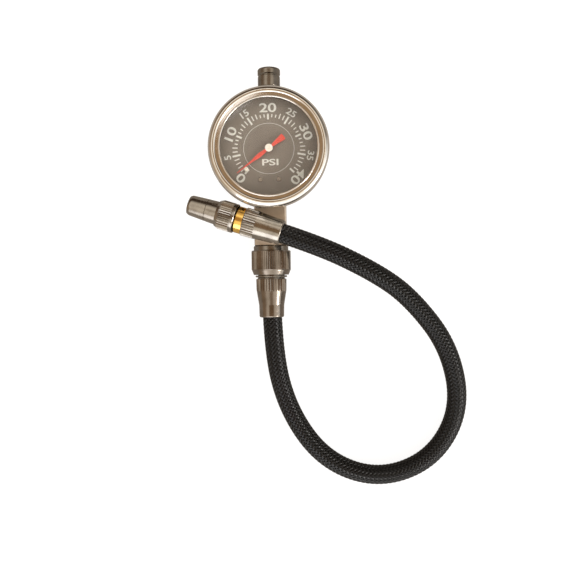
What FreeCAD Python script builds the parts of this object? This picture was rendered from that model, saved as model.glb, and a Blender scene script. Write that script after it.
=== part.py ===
# Tyre inflator with a dial gauge, lying on its back with the dial up.
# Millimetres. +X is to the right of the dial, +Y towards the capped air inlet, +Z out of the dial.
# The origin is under the middle of the tool, on the surface that it lies on.
import FreeCAD, Part
import math
import os
from types import SimpleNamespace

import Sketcher
from FreeCAD import Placement, Rotation, Vector

NAME = "TyreInflator"
doc = FreeCAD.newDocument(NAME)

# Driving dimensions: millimetres, degrees and counts
SIZES = {
    # bar that carries everything
    "block_len": 87.6,
    "block_wide": 19.1,
    "block_deep": 21.4,
    "block_edge": 1.2,
    "ground_gap": 0.1,
    "air_bore": 3.0,
    "running_gap": 0.05,
    "seat_gap": 0.1,
    # air inlet with its valve and cap
    "inlet_thread_r": 4.9,
    "inlet_thread_len": 8.0,
    "inlet_hex": 12.6,
    "inlet_hex_len": 4.4,
    "inlet_flange_lip": 0.25,
    "inlet_base_len": 7.5,
    "valve_r": 3.85,
    "valve_len": 9.0,
    "valve_bore": 2.7,
    "core_pin_r": 0.8,
    "core_pin_travel": 1.5,
    "core_spring_wire": 0.3,
    "cap_wall": 2.8,
    "cap_skirt_wall": 1.3,
    "cap_len": 11.3,
    "cap_top": 1.4,
    "cap_rim_len": 4.1,
    # bleed valve with its sliding collar
    "band_step": 2.4,
    "band_len": 3.0,
    "spigot_r": 8.0,
    "spigot_thread_r": 6.0,
    "spigot_thread_len": 8.0,
    "collar_wall": 3.8,
    "collar_len": 14.5,
    "collar_travel": 2.6,
    "collar_knurls": 66,
    "oring_wire": 1.5,
    "ring_lip": 1.5,
    "ring_thick": 1.1,
    "ring_gap": 0.4,
    # hose and its two crimped ends
    "hose_od": 11.6,
    "hose_bore": 6.4,
    "fitting_thread_r": 4.95,
    "fitting_reach": 8.0,
    "fitting_bore": 1.8,
    "barb_flange_lip": 0.2,
    "barb_flange_len": 0.9,
    "barb_shoulder_r": 4.1,
    "barb_root_r": 2.8,
    "ferrule_len": 23.2,
    "ferrule_lip": 1.5,
    "ferrule_wall": 1.5,
    "body_grip_wall": 3.25,
    "chuck_grip_wall": 2.45,
    "ferrule_knurl_len": 7.6,
    "ferrule_knurls": 36,
    # chuck that clips on a tyre valve
    "chuck_yaw": -18.0,
    "chuck_pitch": 5.6,
    "chuck_lead": 35.54,
    "chuck_gap": 2.13,
    "chuck_rest_station": 41.0,
    "chuck_rest_gap": 0.4,
    "chuck_bore": 1.5,
    "socket_r": 4.0,
    "collet_wall": 0.85,
    "collet_slot": 0.8,
    "collet_slot_len": 8.8,
    "jaw_start": 0.6,
    "jaw_relief": 8.3,
    "seal_seat": 12.4,
    "seal_len": 2.2,
    "collet_root": 17.0,
    "stem_end": 22.5,
    "depressor_start": 9.2,
    "depressor_r": 0.8,
    "spring_room": 1.05,
    "chuck_spring_wire": 0.7,
    "sleeve_wall": 0.8,
    "sleeve_len": 28.7,
    "sleeve_nose": 17.4,
    "sleeve_travel": 4.0,
    "sleeve_knurls": 40,
    "sleeve_knurl_len": 8.7,
    "nose_wall": 1.05,
    "nose_flare": 0.85,
    "core_ring_step": 1.9,
    "core_ring_start": 29.5,
    "core_ring_end": 33.8,
    # gauge: shell, window and dial
    "gauge_y": 21.9,
    "gauge_turn": 0.9,
    "port_r": 4.8,
    "port_depth": 8.0,
    "gauge_standoff": 2.6,
    "case_r": 32.2,
    "case_wall": 0.9,
    "case_corner": 3.0,
    "bezel_wall": 1.8,
    "bezel_skirt": 10.6,
    "bezel_lip": 5.1,
    "gasket_thick": 1.0,
    "lens_thick": 1.8,
    "lip_thick": 1.2,
    "dial_clear": 0.7,
    "dial_gap": 2.2,
    "dial_recess": 6.6,
    "dial_thick": 0.6,
    "dial_screw_x": 5.2,
    "dial_screw_y": 17.5,
    "stop_radius": 17.5,
    "stop_angle": 222.1,
    "stop_pin_r": 1.2,
    "pointer_len": 22.9,
    "pointer_tail": 10.8,
    "pointer_lift": 1.6,
    # gauge: movement
    "socket_hex": 14.0,
    "socket_neck_r": 6.0,
    "socket_disc_r": 12.0,
    "plate_height": 7.2,
    "plate_thick": 0.8,
    "plate_gap": 6.0,
    "staff_r": 0.55,
    "pinion_teeth": 14,
    "sector_full_teeth": 84,
    "gear_module": 0.31,
    "gear_backlash": 0.05,
    "sector_lift": 2.5,
    "sector_thick": 0.8,
    "tail_radius": 5.0,
    "tail_angle": -77.0,
    "link_pin_inset": 4.41,
    "link_pin_angle": -57.0,
    "link_thick": 0.6,
    "tube_radius": 21.5,
    "tube_wide": 3.0,
    "tube_high": 7.4,
    "tube_wall": 0.35,
    "tube_centre": 9.8,
    "tube_tip_angle": -45.0,
    "tube_sweep": 270.0,
}

# Route of the hose between its two crimped ends, chosen by hand; its first two and last two
# points follow from the ends themselves
HOSE_MIDDLE = [
    (9.0, -132.0, 6.4),
    (31.0, -163.0, 5.9),
    (64.0, -175.0, 5.9),
    (97.0, -163.0, 5.9),
    (114.0, -132.0, 8.5),
    (106.0, -94.0, 16.0),
    (82.0, -64.0, 25.0),
    (59.6, -48.3, 32.0),
]
HOSE_END_RUN = 39.7
ARC_SHARE = 0.45

sheet = doc.addObject("Spreadsheet::Sheet", "Sizes")
for row, (alias, number) in enumerate(SIZES.items(), start=1):
    sheet.set(f"A{row}", alias)
    sheet.set(f"B{row}", str(number))
    sheet.setAlias(f"B{row}", alias)
doc.recompute()


class Size:
    """A length or angle with its value and the sheet expression that gives it."""

    def __init__(self, text, value):
        self.text = text
        self.value = float(value)

    def __add__(self, other):
        return combine(self, "+", other)

    def __radd__(self, other):
        return combine(other, "+", self)

    def __sub__(self, other):
        return combine(self, "-", other)

    def __rsub__(self, other):
        return combine(other, "-", self)

    def __mul__(self, other):
        return combine(self, "*", other)

    def __rmul__(self, other):
        return combine(other, "*", self)

    def __truediv__(self, other):
        return combine(self, "/", other)

    def __neg__(self):
        return combine(0, "-", self)


def as_size(number):
    return number if isinstance(number, Size) else Size(repr(float(number)), number)


def combine(left, sign, right):
    left, right = as_size(left), as_size(right)
    a, b = left.value, right.value
    values = {"+": a + b, "-": a - b, "*": a * b}
    value = values[sign] if sign in values else a / b
    return Size(f"({left.text} {sign} {right.text})", value)


def value_of(number):
    return as_size(number).value


d = SimpleNamespace(**{name: Size(f"Sizes.{name}", getattr(sheet, name)) for name in SIZES})

# Radii that follow from the piece inside
d.cap_r = d.valve_r + d.cap_wall
d.inlet_flange_r = d.cap_r + d.inlet_flange_lip
d.band_r = d.spigot_r + d.band_step
d.collar_r = d.spigot_r + d.collar_wall
d.ring_r = d.spigot_r + d.ring_lip
d.barb_flange_r = d.spigot_r + d.barb_flange_lip
d.axis_height = d.collar_r + d.ground_gap
d.ferrule_bore = d.hose_od / 2 + d.seat_gap
d.body_ferrule_r = d.ferrule_bore + d.body_grip_wall
d.chuck_ferrule_r = d.ferrule_bore + d.chuck_grip_wall
d.collet_r = d.socket_r + d.collet_wall
d.chuck_stem_r = d.socket_r + 0.15
d.chuck_guide_r = d.collet_r + d.spring_room
d.core_ring_r = d.chuck_guide_r + d.core_ring_step
d.sleeve_r = d.core_ring_r + d.sleeve_wall
d.nose_bore = d.collet_r + d.seat_gap
d.nose_tip_r = d.nose_bore + d.nose_wall
d.nose_root_r = d.nose_tip_r + d.nose_flare
d.stem_start = d.seal_seat + d.seal_len
d.bezel_r = d.case_r + d.bezel_wall
d.window_r = d.case_r - d.bezel_lip
d.dial_r = d.case_r - d.case_wall - d.dial_clear

# Heights in the gauge, stacked up from the bar's front face
d.sector_height = d.plate_height + d.plate_thick + d.sector_lift
d.front_plate_low = d.plate_height + d.plate_thick + d.plate_gap
d.dial_height = d.front_plate_low + d.plate_thick + d.dial_gap
d.pointer_height = d.dial_height + d.dial_thick + d.pointer_lift
d.case_deep = d.dial_height + d.dial_recess - d.gauge_standoff

# Stations along the tool, from the way that its pieces stack on the bar
below_block = (
    d.band_len + d.seat_gap + d.collar_len + d.ring_gap + d.ring_thick + d.barb_flange_len + d.ferrule_len
)
above_block = d.block_len + d.inlet_base_len + d.cap_len
block_low_y = (below_block - above_block) / 2
block_top_y = block_low_y + d.block_len
collar_top_y = block_low_y - d.band_len - d.seat_gap
ring_top_y = collar_top_y - d.collar_len - d.ring_gap
spigot_len = d.band_len + d.seat_gap + d.collar_len + d.ring_gap + d.ring_thick
spigot_low_y = block_low_y - spigot_len
ferrule_top_y = spigot_low_y - d.barb_flange_len
hose_start_y = ferrule_top_y - d.ferrule_lip - d.seat_gap

TOWARDS_INLET = Rotation(Vector(1, 0, 0), -90)
TOWARDS_HOSE = Rotation(Vector(1, 0, 0), 90)
nodes = {}


def keep(feature):
    """Note a finished piece as one of the nodes to write."""
    nodes[feature.Label] = feature
    return feature


def new_body(label):
    body = doc.addObject("PartDesign::Body", label)
    body.Label = label
    return keep(body)


def origin_feature(body, role):
    return next(item for item in body.Origin.OriginFeatures if item.Role == role)


def sketch_on(body, role, offset=0):
    """A sketch on one of the body's own planes, moved along that plane's normal."""
    sketch = body.newObject("Sketcher::SketchObject", f"{body.Label}_sketch")
    sketch.AttachmentSupport = [(origin_feature(body, role), "")]
    sketch.MapMode = "FlatFace"
    if value_of(offset):
        sketch.AttachmentOffset = Placement(Vector(0, 0, value_of(offset)), Rotation())
        sketch.setExpression("AttachmentOffset.Base.z", as_size(offset).text)
    return sketch


def hold(sketch, kind, geometry, point, number):
    """Hold one coordinate of a point at its size, or on the axis where the size is nothing."""
    if abs(value_of(number)) < 1e-9:
        axis = -2 if kind == "DistanceX" else -1
        sketch.addConstraint(Sketcher.Constraint("PointOnObject", geometry, point, axis))
        return
    index = sketch.addConstraint(
        Sketcher.Constraint(kind, -1, 1, geometry, point, value_of(number))
    )
    if isinstance(number, Size):
        sketch.setExpression(f"Constraints[{index}]", number.text)


def hold_radius(sketch, geometry, radius):
    radius = radius if value_of(radius) > 0 else -radius
    index = sketch.addConstraint(Sketcher.Constraint("Radius", geometry, value_of(radius)))
    if isinstance(radius, Size):
        sketch.setExpression(f"Constraints[{index}]", radius.text)


def arc_between(start, end, radius):
    """Arc from start to end; a positive radius bulges to the right, a negative one to the left."""
    chord = end - start
    left = Vector(-chord.y, chord.x, 0).normalize()
    rise = math.sqrt(max(radius * radius - chord.Length ** 2 / 4, 0))
    centre = (start + end) / 2 + left * math.copysign(rise, radius)
    first, last = (start, end) if radius > 0 else (end, start)
    angles = [math.atan2(p.y - centre.y, p.x - centre.x) for p in (first, last)]
    circle = Part.Circle(centre, Vector(0, 0, 1), abs(radius))
    return Part.ArcOfCircle(circle, angles[0], angles[1])


def outline(sketch, corners):
    """Closed outline, anticlockwise. A corner's third number is the radius of the side after it."""
    first = sketch.GeometryCount
    count = len(corners)
    points = [Vector(value_of(corner[0]), value_of(corner[1]), 0) for corner in corners]
    ends = []
    for i, corner in enumerate(corners):
        start, end = points[i], points[(i + 1) % count]
        if len(corner) == 2:
            sketch.addGeometry(Part.LineSegment(start, end), False)
            ends.append((1, 2))
        else:
            sketch.addGeometry(arc_between(start, end, value_of(corner[2])), False)
            ends.append((1, 2) if value_of(corner[2]) > 0 else (2, 1))
    for i in range(count):
        following = (i + 1) % count
        sketch.addConstraint(
            Sketcher.Constraint("Coincident", first + i, ends[i][1], first + following, ends[following][0])
        )
    for i, corner in enumerate(corners):
        hold(sketch, "DistanceX", first + i, ends[i][0], corner[0])
        hold(sketch, "DistanceY", first + i, ends[i][0], corner[1])
        if len(corner) == 3:
            hold_radius(sketch, first + i, corner[2])


def circle(sketch, x, y, radius):
    geometry = sketch.addGeometry(
        Part.Circle(Vector(value_of(x), value_of(y), 0), Vector(0, 0, 1), value_of(radius)), False
    )
    hold(sketch, "DistanceX", geometry, 3, x)
    hold(sketch, "DistanceY", geometry, 3, y)
    hold_radius(sketch, geometry, radius)


def bind(feature, prop, number):
    whole = isinstance(getattr(feature, prop), int)
    setattr(feature, prop, round(value_of(number)) if whole else value_of(number))
    if isinstance(number, Size):
        feature.setExpression(prop, number.text)


def turn_profile(body, corners, inner=None, sweep=360):
    """Revolve a profile of (radius, height) corners about the body's Z axis."""
    sketch = sketch_on(body, "XZ_Plane")
    outline(sketch, corners)
    if inner:
        outline(sketch, inner)
    feature = body.newObject("PartDesign::Revolution", f"{body.Label}_turned")
    feature.Profile = sketch
    feature.ReferenceAxis = (sketch, ["V_Axis"])
    bind(feature, "Angle", sweep)
    doc.recompute()
    return feature


def turned(label, corners):
    body = new_body(label)
    turn_profile(body, corners)
    return body


def pad(body, sketch, height, reverse=False):
    feature = body.newObject("PartDesign::Pad", f"{body.Label}_pad")
    feature.Profile = sketch
    bind(feature, "Length", height)
    feature.Reversed = reverse
    doc.recompute()
    return feature


def pocket(body, sketch, depth, reverse=False):
    """Cut a sketch out of the body and make sure that it cut something."""
    before = body.Shape.Volume
    feature = body.newObject("PartDesign::Pocket", f"{body.Label}_cut")
    feature.Profile = sketch
    bind(feature, "Length", depth)
    feature.Reversed = reverse
    doc.recompute()
    if body.Shape.Volume > before - 1e-6:
        raise SystemExit(f"{feature.Name} cuts nothing")
    return feature


def around(body, feature, count):
    """Repeat a feature evenly round the body's Z axis."""
    pattern = body.newObject("PartDesign::PolarPattern", f"{body.Label}_round")
    pattern.Originals = [feature]
    pattern.Axis = (origin_feature(body, "Z_Axis"), [""])
    pattern.Angle = 360
    bind(pattern, "Occurrences", count)
    body.Tip = pattern
    doc.recompute()


def hexagon(across):
    """Corners of a hexagon of that width across its flats."""
    corner = across / math.sqrt(3)
    turns = [math.radians(60 * k) for k in range(6)]
    return [(corner * math.cos(turn), corner * math.sin(turn)) for turn in turns]


def knurl(body, radius, low, length, count, depth):
    """Straight grooves round a grip, each a V that all but meets the next."""
    half = math.pi / value_of(count) * 0.98
    sketch = sketch_on(body, "XY_Plane", low)
    outer = radius + 0.1
    outline(
        sketch,
        [
            (radius - depth, 0),
            (outer * math.cos(half), -outer * math.sin(half)),
            (outer * math.cos(half), outer * math.sin(half)),
        ],
    )
    cut = pocket(body, sketch, length, reverse=True)
    around(body, cut, count)


def place(feature, x, y, z, rotation=Rotation()):
    feature.Placement = Placement(Vector(value_of(x), value_of(y), value_of(z)), rotation)
    return feature


def compound(label, members):
    """Several like pieces kept as one node."""
    for member in members:
        nodes.pop(member.Label)
    group = doc.addObject("Part::Compound", label)
    group.Links = members
    doc.recompute()
    return keep(group)


def solid_feature(label, shape):
    feature = doc.addObject("Part::Feature", label)
    feature.Shape = shape
    return keep(feature)


# The square bar: everything screws into it or stands on it
def body_block():
    body = new_body("body_block")
    half = d.block_wide / 2
    edge = d.block_edge
    section = sketch_on(body, "XZ_Plane")
    outline(
        section,
        [
            (-half, 0),
            (half, 0),
            (half, d.block_deep - edge, edge),
            (half - edge, d.block_deep),
            (-half + edge, d.block_deep, edge),
            (-half, d.block_deep - edge),
        ],
    )
    pad(body, section, d.block_len, reverse=True)
    for offset, radius, depth, reverse in (
        (0, d.spigot_thread_r + d.running_gap, d.spigot_thread_len + d.seat_gap, False),
        (0, d.air_bore, d.block_len, False),
        (-d.block_len, d.inlet_thread_r + d.running_gap, d.inlet_thread_len + d.seat_gap, True),
    ):
        hole = sketch_on(body, "XZ_Plane", offset)
        circle(hole, 0, d.axis_height, radius)
        pocket(body, hole, depth, reverse)
    port = sketch_on(body, "XY_Plane", d.block_deep)
    circle(port, 0, d.gauge_y - block_low_y, d.port_r + d.running_gap)
    pocket(body, port, d.port_depth + 1.5)
    place(body, 0, block_low_y, 0)


# The air inlet: a tyre-valve stem with a spring-loaded core, under a screw cap
def inlet_stem():
    """Threaded stem with its hexagon and flange, and the valve tube above them."""
    body = new_body("inlet_stem")
    top = d.inlet_base_len + d.valve_len
    low = d.inlet_thread_len
    waist = d.inlet_hex / 2 - 0.2
    flare = d.inlet_base_len - 1.9
    turn_profile(
        body,
        [
            (d.valve_bore, 0),
            (d.inlet_thread_r, 0),
            (d.inlet_thread_r, low),
            (waist, low),
            (waist, low + flare),
            (d.inlet_flange_r, low + flare + 0.5),
            (d.inlet_flange_r, low + d.inlet_base_len - d.seat_gap),
            (d.valve_r, low + d.inlet_base_len - d.seat_gap),
            (d.valve_r, low + top - 0.4),
            (d.valve_r - 0.4, low + top),
            (d.valve_bore, low + top),
        ],
    )
    flats = sketch_on(body, "XY_Plane", d.inlet_thread_len)
    outline(flats, hexagon(d.inlet_hex))
    circle(flats, 0, 0, d.valve_bore)
    pad(body, flats, d.inlet_hex_len)
    place(body, 0, block_top_y - d.inlet_thread_len, d.axis_height, TOWARDS_INLET)


def core_station(height):
    """Height above the block's top end to a place on the tool's axis."""
    return block_top_y + height


CORE_LOW = 6.0
CORE_CHAMBER = 7.0
CORE_COLLAR = 13.2
CORE_SHOULDER = 14.2
CHAMBER_WALL = 0.85


def inlet_core():
    core_r = d.valve_bore - d.running_gap
    guide = d.core_pin_r + 0.1
    chamber = d.valve_bore - CHAMBER_WALL
    top = d.inlet_base_len + d.valve_len - 0.6
    body = turned(
        "inlet_core",
        [
            (guide, CORE_LOW),
            (core_r, CORE_LOW),
            (core_r, top),
            (guide, top),
            (guide, CORE_SHOULDER),
            (chamber, CORE_SHOULDER),
            (chamber, CORE_CHAMBER),
            (guide, CORE_CHAMBER),
        ],
    )
    place(body, 0, core_station(0), d.axis_height, TOWARDS_INLET)


def core_pin():
    disc_r = d.valve_bore - 0.35
    collar_r = d.valve_bore - 1.1
    tip = d.inlet_base_len + d.valve_len - 0.2
    low = CORE_LOW - 1.2
    body = turned(
        "core_pin",
        [
            (0, low),
            (disc_r, low),
            (disc_r, CORE_LOW - 0.1),
            (d.core_pin_r, CORE_LOW - 0.1),
            (d.core_pin_r, CORE_COLLAR),
            (collar_r, CORE_COLLAR),
            (collar_r, CORE_COLLAR + 0.6),
            (d.core_pin_r, CORE_COLLAR + 0.6),
            (d.core_pin_r, tip),
            (0, tip),
        ],
    )
    place(body, 0, core_station(0), d.axis_height, TOWARDS_INLET)


def dust_cap():
    body = new_body("dust_cap")
    bore = d.valve_r + 0.15
    rim = d.cap_len - d.cap_rim_len
    skirt_bore = d.cap_r - d.cap_skirt_wall
    turn_profile(
        body,
        [
            (skirt_bore, 0),
            (d.cap_r - 0.15, 0),
            (d.cap_r, 0.3),
            (d.cap_r, rim - 0.9),
            (d.cap_r - 0.5, rim - 0.55),
            (d.cap_r - 0.5, rim - 0.1),
            (d.cap_r + 0.15, rim + 0.5),
            (d.cap_r + 0.15, d.cap_len - 1.3, 1.3),
            (d.cap_r - 1.15, d.cap_len),
            (0, d.cap_len),
            (0, d.cap_len - d.cap_top),
            (bore, d.cap_len - d.cap_top),
            (bore, 2.2),
            (skirt_bore, 1.6),
        ],
    )
    place(body, 0, core_station(d.inlet_base_len), d.axis_height, TOWARDS_INLET)


def cap_seal():
    thick = 0.8
    roof = d.inlet_base_len + d.cap_len - d.cap_top
    body = turned(
        "cap_seal",
        [(0, 0), (d.valve_r, 0), (d.valve_r, thick), (0, thick)],
    )
    place(body, 0, core_station(roof - thick), d.axis_height, TOWARDS_INLET)


# The bleed valve: a knurled collar slides up the turned spigot and opens its side ports
def bleed_spigot():
    body = new_body("bleed_spigot")
    low = spigot_len
    groove_wide = d.oring_wire + 0.3
    groove_r = d.spigot_r + 0.02 - d.oring_wire
    corners = [
        (d.air_bore, -d.spigot_thread_len),
        (d.spigot_thread_r, -d.spigot_thread_len),
        (d.spigot_thread_r, 0),
        (d.band_r - 0.7, 0),
        (d.band_r, 0.7),
        (d.band_r, d.band_len),
        (d.spigot_r, d.band_len),
    ]
    for start in oring_stations():
        corners += [
            (d.spigot_r, start),
            (groove_r, start),
            (groove_r, start + groove_wide),
            (d.spigot_r, start + groove_wide),
        ]
    corners += [
        (d.spigot_r, low - d.ring_thick - 0.05),
        (d.spigot_r - 0.7, low - d.ring_thick - 0.05),
        (d.spigot_r - 0.7, low),
        (d.fitting_thread_r + d.running_gap, low),
        (d.fitting_thread_r + d.running_gap, low - d.fitting_reach - d.seat_gap),
        (d.air_bore, low - d.fitting_reach - d.seat_gap),
    ]
    shift = d.spigot_thread_len
    turn_profile(body, [(r, z + shift) for r, z in corners])
    port = sketch_on(body, "XZ_Plane")
    circle(port, 0, port_station() + shift, 1.0)
    drill = pocket(body, port, d.spigot_r + 1)
    around(body, drill, 4)
    place(body, 0, block_low_y + d.spigot_thread_len, d.axis_height, TOWARDS_HOSE)


def oring_stations():
    """Where the two seal grooves start, measured from the bar's lower end."""
    return (d.band_len + 4.2, d.band_len + d.collar_len - 5.0)


def port_station():
    first, second = oring_stations()
    return (first + second + d.oring_wire) / 2


def bleed_collar():
    body = new_body("bleed_collar")
    band_clear = d.band_r + 0.2
    slide_r = d.spigot_r + d.running_gap
    relief = slide_r + 0.7
    upper = d.collar_travel + 0.6
    turn_profile(
        body,
        [
            (band_clear, 0),
            (d.collar_r - 0.35, 0),
            (d.collar_r, 0.4),
            (d.collar_r, d.collar_len - 2.9),
            (d.collar_r - 0.25, d.collar_len - 2.6),
            (d.collar_r - 0.35, d.collar_len - 2.3),
            (d.collar_r - 1.3, d.collar_len),
            (relief, d.collar_len),
            (relief, d.collar_len - 2.2),
            (slide_r, d.collar_len - 2.2),
            (slide_r, upper),
            (band_clear, upper),
        ],
    )
    knurl(body, d.collar_r, 0.75, d.collar_len - 3.9, d.collar_knurls, 0.32)
    place(body, 0, collar_top_y, d.axis_height, TOWARDS_HOSE)


def bleed_seals():
    """Two O-rings, each squeezed a little by its groove's floor."""
    wire = d.oring_wire / 2
    seals = []
    for i, start in enumerate(oring_stations()):
        ring = doc.addObject("Part::Torus", f"bleed_seal_{i + 1}")
        bind(ring, "Radius1", d.spigot_r + 0.02 - wire)
        bind(ring, "Radius2", wire - 0.01)
        keep(ring)
        seals.append(place(ring, 0, block_low_y - start - wire - 0.15, d.axis_height, TOWARDS_HOSE))
    compound("bleed_seals", seals)


def retaining_ring():
    inner = d.spigot_r - 0.65
    body = turned(
        "retaining_ring",
        [
            (inner, 0.05),
            (d.ring_r - 0.25, 0.05),
            (d.ring_r, 0.3),
            (d.ring_r, d.ring_thick - 0.25),
            (d.ring_r - 0.25, d.ring_thick),
            (inner, d.ring_thick),
        ],
    )
    place(body, 0, ring_top_y, d.axis_height, TOWARDS_HOSE)


# The hose: a barbed insert and a crimped ferrule at each end
def barb_corners(bore, start, teeth=4, pitch=4.6):
    """Saw-tooth barb from its root outwards, as (radius, height) corners; each tooth points back."""
    crest = d.hose_bore / 2 - 0.02
    root_r = d.barb_root_r
    corners = [(root_r, start)]
    for k in range(teeth):
        low = start + 1.0 + k * pitch
        corners += [(root_r, low), (crest, low), (root_r, low + pitch - 0.6)]
    end = start + 1.0 + teeth * pitch
    corners += [(root_r, end), (bore + 0.3, end + 0.9), (bore, end + 0.9)]
    return corners


def hose_fitting():
    bore = d.fitting_bore
    reach = d.fitting_reach
    corners = [
        (bore, 0),
        (d.fitting_thread_r, 0),
        (d.fitting_thread_r, reach),
        (d.barb_flange_r - 0.3, reach),
        (d.barb_flange_r, reach + 0.3),
        (d.barb_flange_r, reach + d.barb_flange_len - 0.05),
        (d.barb_shoulder_r, reach + d.barb_flange_len - 0.05),
        (d.barb_shoulder_r, reach + d.barb_flange_len + d.ferrule_lip),
    ]
    corners += barb_corners(bore, reach + d.barb_flange_len + d.ferrule_lip)
    body = turned("hose_fitting", corners)
    place(body, 0, spigot_low_y + reach, d.axis_height, TOWARDS_HOSE)


def ferrule(label, outer_r):
    """Crimped sleeve over the hose's end: knurled grip, taper, then a straight neck with a round mouth."""
    body = new_body(label)
    mouth = d.ferrule_bore
    lip_r = d.barb_shoulder_r + 0.1
    end_r = mouth + d.ferrule_wall
    knurl_low = 0.35
    turn_profile(
        body,
        [
            (lip_r, 0),
            (outer_r - 0.25, 0),
            (outer_r, 0.3),
            (outer_r - 0.12, d.ferrule_knurl_len - 0.9),
            (end_r + 0.17, d.ferrule_len * 0.68),
            (end_r, d.ferrule_len - 0.9, 0.95),
            (end_r - 0.9, d.ferrule_len),
            (mouth, d.ferrule_len),
            (mouth, d.ferrule_lip),
            (lip_r, d.ferrule_lip),
        ],
    )
    knurl(body, outer_r, knurl_low, d.ferrule_knurl_len - knurl_low, d.ferrule_knurls, 0.5)
    return body


def hose_ferrule():
    place(ferrule("hose_ferrule", d.body_ferrule_r), 0, ferrule_top_y, d.axis_height, TOWARDS_HOSE)


def chuck_axis():
    """Unit vector along the chuck, from its mouth to the hose."""
    yaw = math.radians(value_of(d.chuck_yaw))
    pitch = math.radians(value_of(d.chuck_pitch))
    return Vector(math.cos(yaw) * math.cos(pitch), math.sin(yaw) * math.cos(pitch), math.sin(pitch))


def chuck_tip():
    """Mouth of the chuck: beside the gauge's case, and as high as rests its hose end on the bar."""
    yaw = math.radians(value_of(d.chuck_yaw))
    pitch = math.radians(value_of(d.chuck_pitch))
    resting = value_of(d.block_deep + d.chuck_rest_gap) + value_of(d.chuck_ferrule_r) / math.cos(pitch)
    rise = value_of(d.chuck_rest_station) * math.sin(pitch)
    aside = Vector(math.sin(yaw), -math.cos(yaw), 0) * value_of(d.case_r + d.chuck_gap + d.sleeve_r)
    back = Vector(math.cos(yaw), math.sin(yaw), 0) * value_of(d.chuck_lead)
    return Vector(0, value_of(d.gauge_y), resting - rise) + aside - back


def on_chuck(feature, station=0.0):
    """Place a piece on the chuck's axis, its Z axis running from the mouth to the hose."""
    base = chuck_tip() + chuck_axis() * value_of(station)
    feature.Placement = Placement(base, Rotation(Vector(0, 0, 1), chuck_axis()))
    return feature


def hose_points():
    """The hose's route: straight out of each crimped end, and by hand between them."""
    height = value_of(d.axis_height)
    start = Vector(0, value_of(hose_start_y), height)
    station = value_of(d.core_ring_end + d.ferrule_lip + d.seat_gap)
    end = chuck_tip() + chuck_axis() * station
    points = [start, start - Vector(0, HOSE_END_RUN, 0)]
    points += [Vector(*point) for point in HOSE_MIDDLE]
    points += [end + chuck_axis() * (HOSE_END_RUN - 0.1), end]
    return points


def tangent_path(points):
    """Straight runs joined by tangent arcs, each as large as its two runs allow."""
    edges = []
    radii = []
    here = points[0]
    for before, corner, after in zip(points, points[1:], points[2:]):
        back = (before - corner).normalize()
        on = (after - corner).normalize()
        reach = ARC_SHARE * min((before - corner).Length, (after - corner).Length)
        turn = math.pi - back.getAngle(on)
        radius = reach / math.tan(turn / 2)
        radii.append(radius)
        enter, leave = corner + back * reach, corner + on * reach
        inward = (back + on).normalize()
        middle = corner + inward * (math.hypot(radius, reach) - radius)
        edges.append(Part.LineSegment(here, enter).toShape())
        edges.append(Part.Arc(enter, middle, leave).toShape())
        here = leave
    edges.append(Part.LineSegment(here, points[-1]).toShape())
    return Part.Wire(edges), radii


def swept(wire, radius, start, direction):
    section = Part.Wire(Part.Circle(start, direction, radius).toShape())
    return wire.makePipeShell([section], True, False)


def hose():
    points = hose_points()
    wire, radii = tangent_path(points)
    direction = points[1] - points[0]
    outer = swept(wire, value_of(d.hose_od) / 2, points[0], direction)
    inner = swept(wire, value_of(d.hose_bore) / 2, points[0], direction)
    shape = outer.cut(inner)
    solid_feature("hose", shape.Solids[0])
    area = math.pi / 4 * (value_of(d.hose_od) ** 2 - value_of(d.hose_bore) ** 2)
    runs = [(after - before).Length for before, after in zip(points, points[1:])]
    print("hose route length", round(wire.Length, 1), "runs", [round(run, 1) for run in runs])
    print("hose bend radii", [round(radius, 1) for radius in radii])
    print("hose volume over section times length", round(shape.Volume / (area * wire.Length), 4))


# The chuck: jaws that grip a tyre valve inside a spring-loaded sleeve
def chuck_core():
    """Brass body of the chuck: stem, guide, shown ring and hose barb in one turned piece."""
    bore = d.chuck_bore
    stem_r = d.chuck_stem_r - d.running_gap
    guide_r = d.chuck_guide_r - 0.1
    corners = [
        (bore, d.stem_start),
        (stem_r, d.stem_start),
        (stem_r, d.stem_end),
        (guide_r, d.stem_end),
        (guide_r, d.core_ring_start),
        (d.core_ring_r - 0.2, d.core_ring_start),
        (d.core_ring_r, d.core_ring_start + 0.2),
        (d.core_ring_r, d.core_ring_end - 0.05),
        (d.barb_shoulder_r, d.core_ring_end - 0.05),
        (d.barb_shoulder_r, d.core_ring_end + d.ferrule_lip),
    ]
    corners += barb_corners(bore, d.core_ring_end + d.ferrule_lip)
    on_chuck(turned("chuck_core", corners))


def chuck_collet():
    """Slotted jaws: a thin tube with the socket for the tyre valve, four slots and a relieved root."""
    body = new_body("chuck_collet")
    outer = d.collet_r
    turn_profile(
        body,
        [
            (d.socket_r + 0.4, d.jaw_start),
            (outer - 0.15, d.jaw_start),
            (outer, d.jaw_start + 0.2),
            (outer, d.collet_root),
            (d.chuck_stem_r, d.collet_root),
            (d.chuck_stem_r, d.seal_seat),
            (d.socket_r + 0.35, d.seal_seat),
            (d.socket_r + 0.35, d.jaw_relief),
            (d.socket_r, d.jaw_relief),
            (d.socket_r, d.jaw_start + 0.4),
        ],
    )
    slot = sketch_on(body, "XY_Plane", 0)
    half = d.collet_slot / 2
    outline(slot, [(2.0, -half), (outer + 1, -half), (outer + 1, half), (2.0, half)])
    cut = pocket(body, slot, d.jaw_start + d.collet_slot_len, reverse=True)
    around(body, cut, 4)
    on_chuck(body)


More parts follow.
